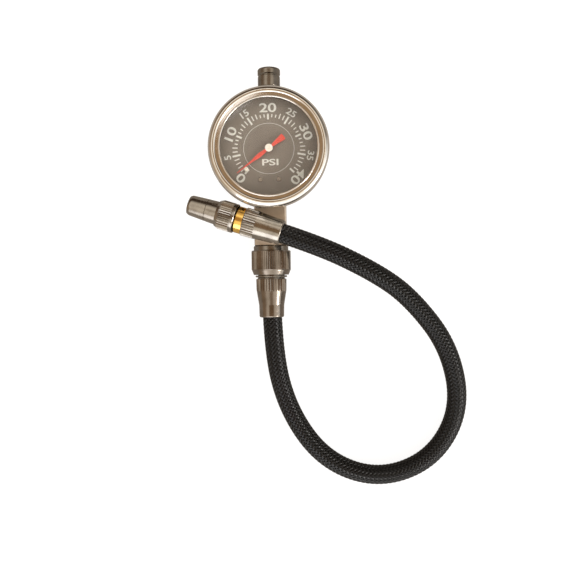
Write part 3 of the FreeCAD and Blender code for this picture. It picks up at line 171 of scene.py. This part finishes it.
world = bpy.data.worlds.new("room")
bpy.context.scene.world = world
world.use_nodes = True
tree = world.node_tree
tree.nodes.clear()
direction = add_node(tree, "ShaderNodeTexCoord").outputs["Generated"]
split = add_node(tree, "ShaderNodeSeparateXYZ", {0: direction})
height = add_node(tree, "ShaderNodeMapRange", {0: split.outputs["Z"], 1: -1.0, 2: 1.0})
by_height = add_node(tree, "ShaderNodeValToRGB", {0: height.outputs[0]})
set_ramp(
    by_height,
    (0.0, colour("#e9e6e0")),
    (0.5, colour(LOWER_WALL)),
    (0.68, colour(LOWER_WALL)),
    (0.80, colour(UPPER_WALL, UPPER_WALL_STRENGTH)),
    (0.95, colour(UPPER_WALL, UPPER_WALL_STRENGTH)),
    (0.965, colour(CEILING_EDGE)),
    (0.99, colour(CEILING)),
)
azimuth = add_node(
    tree, "ShaderNodeMath", {0: split.outputs["Y"], 1: split.outputs["X"]}, operation="ARCTAN2"
)
round_share = add_node(tree, "ShaderNodeMapRange", {0: azimuth.outputs[0], 1: -math.pi, 2: math.pi})
by_side = add_node(tree, "ShaderNodeValToRGB", {0: round_share.outputs[0]})
set_ramp(
    by_side,
    (0.0, colour(LEFT_WALL)),
    (0.10, colour("#cdb79c")),
    (0.18, colour(WINDOW, WINDOW_STRENGTH)),
    (0.47, colour(WINDOW, WINDOW_STRENGTH)),
    (0.56, colour("#8f857b")),
    (0.70, colour(BACK_WALL)),
    (0.84, colour("#6d5a4a")),
    (1.0, colour(LEFT_WALL)),
)
low_share = add_node(tree, "ShaderNodeMapRange", {0: split.outputs["Z"], 1: 0.78, 2: 0.50})
room = add_node(
    tree,
    "ShaderNodeMix",
    {0: low_share.outputs[0], 6: by_height.outputs[0], 7: by_side.outputs[0]},
    data_type="RGBA",
)
seen = add_node(tree, "ShaderNodeLightPath").outputs["Is Camera Ray"]
room_light = add_node(tree, "ShaderNodeBackground", {0: room.outputs[2], 1: ROOM_STRENGTH})
plain_white = add_node(tree, "ShaderNodeBackground", {0: (1, 1, 1, 1), 1: 1.0})
chosen = add_node(
    tree, "ShaderNodeMixShader", {0: seen, 1: room_light.outputs[0], 2: plain_white.outputs[0]}
)
add_node(tree, "ShaderNodeOutputWorld", {0: chosen.outputs[0]})

# %% [markdown]
# The window itself is an area lamp low on the right, in front: it draws the long highlights on the
# round metal and the row of glints along the hose. A second, cooler one in front brightens the near
# side of the chuck and of the bezel. A weaker, wider lamp overhead fills the dial, and
# is kept out of the mirrors. A small strip on the ceiling is there only to be mirrored: the flat of
# the bezel shows it as a white patch at the upper left.

# %% Lamps


def area_lamp(name, place, aim, size, power, tint):
    bpy.ops.object.light_add(type="AREA", location=place)
    lamp = bpy.context.object
    lamp.name = name
    lamp.data.shape = "RECTANGLE"
    lamp.data.size, lamp.data.size_y = size
    lamp.data.energy = power
    lamp.data.color = colour(tint)[:3]
    lamp.rotation_euler = (Vector(aim) - Vector(place)).to_track_quat("-Z", "Y").to_euler()
    return lamp


PART_MIDDLE = (0.03, -0.05, 0.02)
area_lamp("window", (0.85, -0.50, 0.55), PART_MIDDLE, (0.45, 0.22), 4.6, "#fffaf4")
area_lamp("front window", (-0.30, -0.95, 0.42), PART_MIDDLE, (0.9, 0.65), 3.0, "#f4f6ff")
overhead = area_lamp("overhead", (-0.25, 0.35, 1.1), PART_MIDDLE, (0.9, 0.9), 2.0, "#fffaf4")
overhead.visible_glossy = False
STRIP_PLACE = (-0.083, 0.281, 1.02)
STRIP_AIM = (-0.083, 0.281, 0)
STRIP_TURN = math.radians(38)
strip = area_lamp("ceiling strip", STRIP_PLACE, STRIP_AIM, (0.085, 0.03), 0.012, "#ffffff")
strip.rotation_euler.z = STRIP_TURN

# %% [markdown]
# The floor is a plain white sweep. It shines a little by itself for the eye, so it looks paper white
# without lighting the part, and it still takes the part's soft shadow. In mirrors it shines darker:
# the edges of the round metal in the photograph are dark, as over a bench and not over white paper.

# %% Floor
FLOOR_GLOW_SHARE = 0.75
FLOOR_GLOW = 1.18
FLOOR_IN_MIRRORS = "#8d8276"
bpy.ops.object.select_all(action="DESELECT")
bpy.ops.mesh.primitive_plane_add(size=6.0, location=(0, 0, 0))
floor = bpy.context.object
floor.name = "floor"
paper, tree, shader = new_material("white_paper")
shader.inputs["Base Color"].default_value = colour("#f7f8fa")
shader.inputs["Roughness"].default_value = 1.0
path = add_node(tree, "ShaderNodeLightPath")
mirror = add_node(
    tree,
    "ShaderNodeMath",
    {0: path.outputs["Is Camera Ray"], 1: path.outputs["Is Glossy Ray"]},
    operation="MAXIMUM",
)
looked_at = add_node(
    tree,
    "ShaderNodeMath",
    {0: mirror.outputs[0], 1: path.outputs["Is Transmission Ray"]},
    operation="MAXIMUM",
)
glow_share = add_node(
    tree, "ShaderNodeMath", {0: looked_at.outputs[0], 1: FLOOR_GLOW_SHARE}, operation="MULTIPLY"
)
shown = add_node(
    tree,
    "ShaderNodeMix",
    {0: path.outputs["Is Camera Ray"], 6: colour(FLOOR_IN_MIRRORS), 7: (1, 1, 1, 1)},
    data_type="RGBA",
)
glow = add_node(tree, "ShaderNodeEmission", {"Color": shown.outputs[2], "Strength": FLOOR_GLOW})
both = add_node(
    tree, "ShaderNodeMixShader", {0: glow_share.outputs[0], 1: shader.outputs[0], 2: glow.outputs[0]}
)
show_instead(tree, both)
floor.data.materials.append(paper)
floor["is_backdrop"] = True

# %% [markdown]
# The hose is a rubber tube under a braid of black nylon: two sets of sixteen flat yarns wind round it
# in opposite directions, and each goes over two of the others and under the next two. It could be a
# smooth tube with a bump, but the braid's crests make the row of glints that the photograph shows,
# so every yarn is a real ribbon that rises and dips. The yarns follow a NURBS curve through the same
# route points as the model's hose.

# %% Route of the hose
HOSE_ROUTE_MM = [
    (0.0, -53.2, 11.9),
    (0.0, -92.9, 11.9),
    (9.0, -132.0, 6.4),
    (31.0, -163.0, 5.9),
    (64.0, -175.0, 5.9),
    (97.0, -163.0, 5.9),
    (114.0, -132.0, 8.5),
    (106.0, -94.0, 16.0),
    (82.0, -64.0, 25.0),
    (59.6, -48.3, 32.0),
    (23.922, -31.012, 33.508),
    (-13.560, -18.833, 29.644),
]
route_curve = bpy.data.curves.new("hose_route", "CURVE")
route_curve.dimensions = "3D"
route_curve.resolution_u = 60
spline = route_curve.splines.new("NURBS")
spline.points.add(len(HOSE_ROUTE_MM) - 1)
for point, place in zip(spline.points, HOSE_ROUTE_MM):
    point.co = (*[number * MM for number in place], 1.0)
spline.order_u = 3
spline.use_endpoint_u = True
route_object = add_object("hose_route", route_curve)
bpy.context.view_layer.update()
depsgraph = bpy.context.evaluated_depsgraph_get()
route_mesh = bpy.data.meshes.new_from_object(route_object.evaluated_get(depsgraph))
route = [vertex.co.copy() for vertex in route_mesh.vertices]
bpy.data.objects.remove(route_object)
route_length = sum((b - a).length for a, b in zip(route, route[1:]))
print("hose route", round(route_length / MM, 1), "mm long,", len(route), "points")

# %% Even stations along the route, each with its own axes


def stations_along(line, count):
    """Evenly spaced places along a line, each with its direction."""
    marks = [0.0]
    for a, b in zip(line, line[1:]):
        marks.append(marks[-1] + (b - a).length)
    found = []
    k = 0
    for i in range(count):
        wanted = marks[-1] * i / (count - 1)
        while k < len(marks) - 2 and marks[k + 1] < wanted:
            k += 1
        share = (wanted - marks[k]) / (marks[k + 1] - marks[k])
        found.append(line[k].lerp(line[k + 1], share))
    return found


def frames_along(places):
    """Axes at each station, turned no more than the line itself turns."""
    headings = []
    for i in range(len(places)):
        before = places[max(i - 1, 0)]
        after = places[min(i + 1, len(places) - 1)]
        headings.append((after - before).normalized())
    side = headings[0].orthogonal().normalized()
    axes = []
    for i, heading in enumerate(headings):
        if i:
            side = headings[i - 1].rotation_difference(heading) @ side
            side = (side - heading * side.dot(heading)).normalized()
        axes.append((side, heading.cross(side)))
    return axes


YARNS = 16
BRAID_LEAD = 40 * MM
YARN_WIDTH = 1.52 * MM
YARN_CROWN = 0.36 * MM
YARN_RISE = 0.20 * MM
BRAID_R = 5.32 * MM
TUBE_R = 5.2 * MM
STEPS_PER_FLOAT = 4
TUBE_SIDES = 12
UV_LENGTHS_PER_WIDTH = 4

float_length = BRAID_LEAD / YARNS
station_count = round(route_length / (float_length / STEPS_PER_FLOAT)) + 1
places = stations_along(route, station_count)
axes = frames_along(places)
print(station_count, "stations,", round(route_length / BRAID_LEAD, 1), "turns of the braid")

# %% Braid
SECTION = [-1.0, -0.45, 0.45, 1.0]
braid_angle = math.atan(2 * math.pi * BRAID_R / BRAID_LEAD)
half_spread = YARN_WIDTH / 2 / math.cos(braid_angle) / BRAID_R

vertices = []
faces = []
yarn_uv = []


def round_point(i, angle, radius):
    side, up = axes[i]
    return places[i] + (side * math.cos(angle) + up * math.sin(angle)) * radius


def add_yarn(number, hand):
    """One ribbon of yarn; hand is the way that it winds."""
    first = len(vertices)
    row = len(SECTION)
    for i in range(station_count):
        along = route_length * i / (station_count - 1)
        turn = hand * 2 * math.pi * along / BRAID_LEAD
        middle = 2 * math.pi * number / YARNS + turn
        crossing = 2 * YARNS * along / BRAID_LEAD
        phase = (2 * number + hand * crossing - 0.5) / 4
        wave = math.cos(2 * math.pi * phase)
        rise = hand * YARN_RISE * math.copysign(abs(wave) ** 0.6, wave)
        for across in SECTION:
            crown = YARN_CROWN * math.sqrt(max(1 - across * across, 0))
            vertices.append(round_point(i, middle + across * half_spread, BRAID_R + rise + crown))
        if i:
            low = first + (i - 1) * row
            high = low + row
            for k in range(row):
                following = (k + 1) % row
                faces.append((low + k, low + following, high + following, high + k))
                yarn_uv.append((k, i))
    faces.append(tuple(first + k for k in reversed(range(row))))
    faces.append(tuple(first + (station_count - 1) * row + k for k in range(row)))
    yarn_uv.extend([None, None])


for number in range(YARNS):
    add_yarn(number, 1)
    add_yarn(number, -1)

inner_first = len(vertices)
for i in range(station_count):
    for k in range(TUBE_SIDES):
        vertices.append(round_point(i, 2 * math.pi * k / TUBE_SIDES, TUBE_R))
    if i:
        low = inner_first + (i - 1) * TUBE_SIDES
        high = low + TUBE_SIDES
        for k in range(TUBE_SIDES):
            following = (k + 1) % TUBE_SIDES
            faces.append((low + k, low + following, high + following, high + k))
faces.append(tuple(inner_first + k for k in reversed(range(TUBE_SIDES))))
faces.append(tuple(inner_first + (station_count - 1) * TUBE_SIDES + k for k in range(TUBE_SIDES)))

hose_mesh = bpy.data.meshes.new("braided_hose")
hose_mesh.from_pydata([tuple(vertex) for vertex in vertices], [], faces)
uv_layer = hose_mesh.uv_layers.new(name="yarn")
for face, spot in zip(hose_mesh.polygons, yarn_uv):
    if spot is None:
        continue
    k, i = spot
    corners = ((k, i - 1), (k + 1, i - 1), (k + 1, i), (k, i))
    for loop, (u, v) in zip(face.loop_indices, corners):
        uv_layer.data[loop].uv = (u / UV_LENGTHS_PER_WIDTH, v / STEPS_PER_FLOAT)
for face in hose_mesh.polygons:
    face.use_smooth = True
hose = add_object("braided_hose", hose_mesh)
triangles = sum(len(face.vertices) - 2 for face in hose_mesh.polygons)
print("braided hose:", len(faces), "faces,", triangles, "triangles")

# %% [markdown]
# Nylon yarn is a bundle of fine bright filaments, dyed black. It gives the eye a near-black with a
# dull sheen, and a short grey glint where a float of yarn crests. The filaments run along the yarn,
# so their fine lines follow the yarn's own UV map.

# %% Black nylon braid
black_nylon, tree, shader = new_material("black_nylon_braid")
uv = add_node(tree, "ShaderNodeUVMap", uv_map="yarn")
filaments = add_node(
    tree,
    "ShaderNodeTexWave",
    {"Vector": uv.outputs[0], "Scale": 3.2, "Distortion": 1.2, "Detail": 1.0},
    wave_type="BANDS",
    bands_direction="X",
)
tint = add_node(tree, "ShaderNodeValToRGB", {0: filaments.outputs["Fac"]})
set_ramp(tint, (0.0, colour("#040404")), (1.0, colour("#0d0c0c")))
lines = add_node(
    tree,
    "ShaderNodeBump",
    {"Height": filaments.outputs["Fac"], "Strength": 0.5, "Distance": 0.05 * MM},
)
tree.links.new(tint.outputs[0], shader.inputs["Base Color"])
tree.links.new(lines.outputs[0], shader.inputs["Normal"])
shader.inputs["Roughness"].default_value = 0.14
shader.inputs["Specular IOR Level"].default_value = 0.36
hose.data.materials.append(black_nylon)

# %% [markdown]
# The finishes of the metal pieces. The bar, collar and body ferrule are brass under a dark nickel
# plate, brushed satin: a warm grey-brown mirror, blurred, with faint cloudy marks from handling.
# On the bar that plate is coloured much paler than on the collar and ferrule: a painted reflection
# of the pale room in the bar's flat face.
# The chuck is plain satin nickel, smoother, so it mirrors the window as a broad pale band. The bezel
# is pressed stainless steel, polished bright.

# %% Metals


METAL_CLOUD = 6.0 * MM
METAL_GRAIN = 0.35 * MM


def plated_metal(name, dark, light, rough):
    """Satin plated metal: cloudy colour, uneven roughness and a fine grain."""
    material, tree, shader = new_material(name)
    spot = add_node(tree, "ShaderNodeTexCoord").outputs["Object"]
    clouds = add_node(
        tree, "ShaderNodeTexNoise", {"Vector": spot, "Scale": 1 / METAL_CLOUD, "Detail": 3.0}
    )
    tint = add_node(tree, "ShaderNodeValToRGB", {0: clouds.outputs[0]})
    set_ramp(tint, (0.35, colour(dark)), (0.65, colour(light)))
    blur = add_node(
        tree,
        "ShaderNodeMapRange",
        {0: clouds.outputs[0], 1: 0.3, 2: 0.7, 3: rough * 0.85, 4: rough * 1.15},
    )
    grain = add_node(
        tree, "ShaderNodeTexNoise", {"Vector": spot, "Scale": 1 / METAL_GRAIN, "Detail": 2.0}
    )
    bump = add_node(
        tree, "ShaderNodeBump", {"Height": grain.outputs[0], "Strength": 0.25, "Distance": 0.01 * MM}
    )
    tree.links.new(tint.outputs[0], shader.inputs["Base Color"])
    tree.links.new(blur.outputs[0], shader.inputs["Roughness"])
    tree.links.new(bump.outputs[0], shader.inputs["Normal"])
    shader.inputs["Metallic"].default_value = 1.0
    return material


# The bar's colours are much paler than the same dark nickel plate below: painted reflection of the
# pale room in its flat face.
bar_nickel_with_painted_reflection = plated_metal("dark_nickel_bar_with_painted_reflection", "#c6b9aa", "#d3c6b6", 0.40)
dark_nickel = plated_metal("dark_nickel_plate", "#7e776e", "#8f887f", 0.24)
knurled_nickel = plated_metal("dark_nickel_grip", "#7f766c", "#90867c", 0.19)
satin_nickel = plated_metal("satin_nickel", "#938c83", "#a59e94", 0.17)
polished_steel = plated_metal("polished_stainless_steel", "#d9d4cc", "#e2ded7", 0.09)
turned_brass = plated_metal("turned_brass", "#edbe5e", "#f6cd78", 0.16)
bronze = plated_metal("phosphor_bronze", "#b07a4a", "#c08a58", 0.25)
spring_steel = plated_metal("spring_steel", "#a8a9aa", "#bbbcbd", 0.25)
zinc_screw = plated_metal("zinc_plated_steel", "#b9bab8", "#cccdca", 0.25)

# %% Paints, rubber and clear window


PAINT_GRAIN = 0.3 * MM
PAINT_BUMP = 0.02 * MM


def plain_finish(name, dark, light, rough, cloud_mm):
    """Paint, plastic or rubber: a slightly uneven colour over a fine grain."""
    material, tree, shader = new_material(name)
    spot = add_node(tree, "ShaderNodeTexCoord").outputs["Object"]
    clouds = add_node(
        tree, "ShaderNodeTexNoise", {"Vector": spot, "Scale": 1 / (cloud_mm * MM), "Detail": 4.0}
    )
    tint = add_node(tree, "ShaderNodeValToRGB", {0: clouds.outputs[0]})
    set_ramp(tint, (0.35, colour(dark)), (0.65, colour(light)))
    grain = add_node(tree, "ShaderNodeTexNoise", {"Vector": spot, "Scale": 1 / PAINT_GRAIN})
    bump = add_node(
        tree, "ShaderNodeBump", {"Height": grain.outputs[0], "Strength": 0.3, "Distance": PAINT_BUMP}
    )
    tree.links.new(tint.outputs[0], shader.inputs["Base Color"])
    tree.links.new(bump.outputs[0], shader.inputs["Normal"])
    shader.inputs["Roughness"].default_value = rough
    return material


dial_paint = plain_finish("taupe_dial_paint", "#776f66", "#7f776d", 0.5, 9.0)
pointer_paint = plain_finish("red_pointer_paint", "#d84435", "#e24f3f", 0.4, 3.0)
hub_plastic = plain_finish("ivory_acetal", "#fbf4e4", "#fffaf0", 0.35, 2.0)
black_rubber = plain_finish("black_nitrile_rubber", "#131313", "#1d1d1c", 0.6, 2.0)
print_ink = plain_finish("pale_grey_ink", "#dcddd6", "#e6e7e0", 0.5, 2.0)

window, tree, shader = new_material("clear_acrylic")
shader.inputs["Base Color"].default_value = (1, 1, 1, 1)
shader.inputs["Roughness"].default_value = 0.03
shader.inputs["IOR"].default_value = 1.49
shader.inputs["Transmission Weight"].default_value = 1.0
through = add_node(tree, "ShaderNodeBsdfTransparent", {0: (0.96, 0.96, 0.95, 1)})
lamp_ray = add_node(tree, "ShaderNodeLightPath").outputs["Is Shadow Ray"]
lets_light_in = add_node(
    tree, "ShaderNodeMixShader", {0: lamp_ray, 1: shader.outputs[0], 2: through.outputs[0]}
)
show_instead(tree, lets_light_in)

# %% Give each piece its finish
FINISHES = {
    bar_nickel_with_painted_reflection: ["body_block"],
    dark_nickel: [
        "inlet_stem", "dust_cap", "bleed_spigot", "retaining_ring", "hose_fitting", "dial_screws",
    ],
    knurled_nickel: ["bleed_collar", "hose_ferrule"],
    satin_nickel: ["chuck_sleeve", "chuck_ferrule"],
    polished_steel: ["bezel", "gauge_case"],
    turned_brass: [
        "chuck_core", "gauge_socket", "inlet_core", "core_pin", "chuck_collet", "depressor_pin",
        "movement_back_plate", "movement_front_plate", "movement_pillars", "pinion", "sector_gear",
        "link_rod", "tube_tip",
    ],
    bronze: ["bourdon_tube", "hairspring"],
    spring_steel: ["core_spring", "chuck_spring"],
    zinc_screw: ["case_screws"],
    black_rubber: ["cap_seal", "bleed_seals", "chuck_seal", "relief_plug", "lens_gasket"],
    dial_paint: ["dial"],
    pointer_paint: ["pointer"],
    hub_plastic: ["pointer_hub", "stop_pin"],
    window: ["lens"],
}
for material, names in FINISHES.items():
    for name in names:
        mesh = nodes[name].data
        mesh.materials.clear()
        mesh.materials.append(material)
missing = set(nodes) - {name for names in FINISHES.values() for name in names} - {"hose"}
print("nodes without a finish:", sorted(missing))

# %% [markdown]
# The dial is printed with a scale from 0 to 40 in steps of one, long marks at every five, a thin
# circle inside them, the numbers with their tops outwards, and the unit. The ink is thinner than a
# hair, but it stands on the paint, so every mark and letter is its own thin shape and not a picture.

# %% Scale and circle on the dial
GAUGE_Y = 21.9 * MM
DIAL_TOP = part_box("dial")[1][2]
INK = 0.04 * MM
SCALE_START = 225.0
DEGREES_PER_UNIT = 6.75
HIGHEST_READING = 40
GAUGE_TURN = math.radians(0.9)
CIRCLE_INNER_MM = 14.2
CIRCLE_OUTER_MM = 14.4
CIRCLE_STEPS = 120
to_gauge = Matrix.Translation((0, GAUGE_Y, DIAL_TOP)) @ Matrix.Rotation(GAUGE_TURN, 4, "Z")


def scale_angle(reading):
    return math.radians(SCALE_START - DEGREES_PER_UNIT * reading)


def polar(radius_mm, angle, height=0.0):
    return Vector((radius_mm * MM * math.cos(angle), radius_mm * MM * math.sin(angle), height))


def prism(outline):
    """Corners and faces of a thin printed shape with this outline, anticlockwise."""
    count = len(outline)
    corners = [spot + Vector((0, 0, z)) for z in (-INK / 2, INK / 2) for spot in outline]
    sides = [(k, (k + 1) % count, count + (k + 1) % count, count + k) for k in range(count)]
    return corners, [tuple(reversed(range(count))), tuple(range(count, 2 * count)), *sides]


def scale_mark(reading):
    """Four corners of the mark for one reading."""
    start, end, width = 17.7, 20.6, 0.62
    if reading % 10 == 0:
        start, end, width = 16.4, 19.7, 1.05
    elif reading % 5 == 0:
        start, end, width = 16.4, 21.1, 1.05
    elif min(abs(reading - tens) for tens in (10, 20, 30)) <= 2:
        end = 19.5
    angle = scale_angle(reading)
    side = Vector((-math.sin(angle), math.cos(angle), 0)) * width * MM / 2
    near, far = polar(start, angle), polar(end, angle)
    return [near - side, far - side, far + side, near + side]


shapes = [prism(scale_mark(reading)) for reading in range(HIGHEST_READING + 1)]
for k in range(CIRCLE_STEPS):
    turn, on = (2 * math.pi * step / CIRCLE_STEPS for step in (k, k + 1))
    near, far = polar(CIRCLE_INNER_MM, turn), polar(CIRCLE_OUTER_MM, turn)
    next_near, next_far = polar(CIRCLE_INNER_MM, on), polar(CIRCLE_OUTER_MM, on)
    shapes.append(prism([near, far, next_far, next_near]))
corners = []
sides = []
for shape_corners, shape_faces in shapes:
    first = len(corners)
    corners += [tuple(to_gauge @ spot) for spot in shape_corners]
    sides += [tuple(first + k for k in face) for face in shape_faces]
marks_mesh = bpy.data.meshes.new("dial_printing")
marks_mesh.from_pydata(corners, [], sides)
printing = add_object("dial_printing", marks_mesh)

# %% Numbers and unit on the dial
BIG = (5.2, 1.4)
SMALL = (3.8, 1.16)
BIG_RADIUS_MM = 23.1
SMALL_RADIUS_MM = 23.9
UNIT = (3.7, 1.66)
UNIT_PLACE = (0.6 * MM, -7.8 * MM, 0)
LETTER_WEIGHT = 0.018


def printed_word(words, height_mm, stretch, middle, turn):
    """Words as a thin mesh of that height, stretched sideways; middle and turn are in the gauge."""
    bpy.ops.object.select_all(action="DESELECT")
    bpy.ops.object.text_add()
    word = bpy.context.object
    word.data.body = words
    word.data.offset = LETTER_WEIGHT
    word.data.extrude = 0.5
    bpy.ops.object.convert(target="MESH")
    word = bpy.context.object
    spots = [vertex.co for vertex in word.data.vertices]
    low = [min(spot[axis] for spot in spots) for axis in (0, 1)]
    high = [max(spot[axis] for spot in spots) for axis in (0, 1)]
    to_middle = Matrix.Translation((-(low[0] + high[0]) / 2, -(low[1] + high[1]) / 2, 0))
    scale = height_mm * MM / (high[1] - low[1])
    fit = Matrix.Diagonal((scale * stretch, scale, INK, 1))
    spin = Matrix.Rotation(turn, 4, "Z")
    word.data.transform(to_gauge @ Matrix.Translation(middle) @ spin @ fit @ to_middle)
    return word


words = [printed_word("PSI", *UNIT, UNIT_PLACE, 0.0)]
for reading in range(0, HIGHEST_READING + 1, 5):
    tall, stretch = BIG if reading % 10 == 0 else SMALL
    radius = BIG_RADIUS_MM if reading % 10 == 0 else SMALL_RADIUS_MM
    angle = scale_angle(reading)
    words.append(printed_word(str(reading), tall, stretch, polar(radius, angle), angle - math.pi / 2))
bpy.ops.object.select_all(action="DESELECT")
for word in words:
    word.select_set(True)
printing.select_set(True)
bpy.context.view_layer.objects.active = printing
bpy.ops.object.join()
printing.data.materials.clear()
printing.data.materials.append(print_ink)
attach(printing, "root")
print("printing:", len(printing.data.polygons), "faces")

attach(hose, "root")
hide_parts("hose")
bpy.context.scene.view_settings.view_transform = "Standard"
low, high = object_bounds()
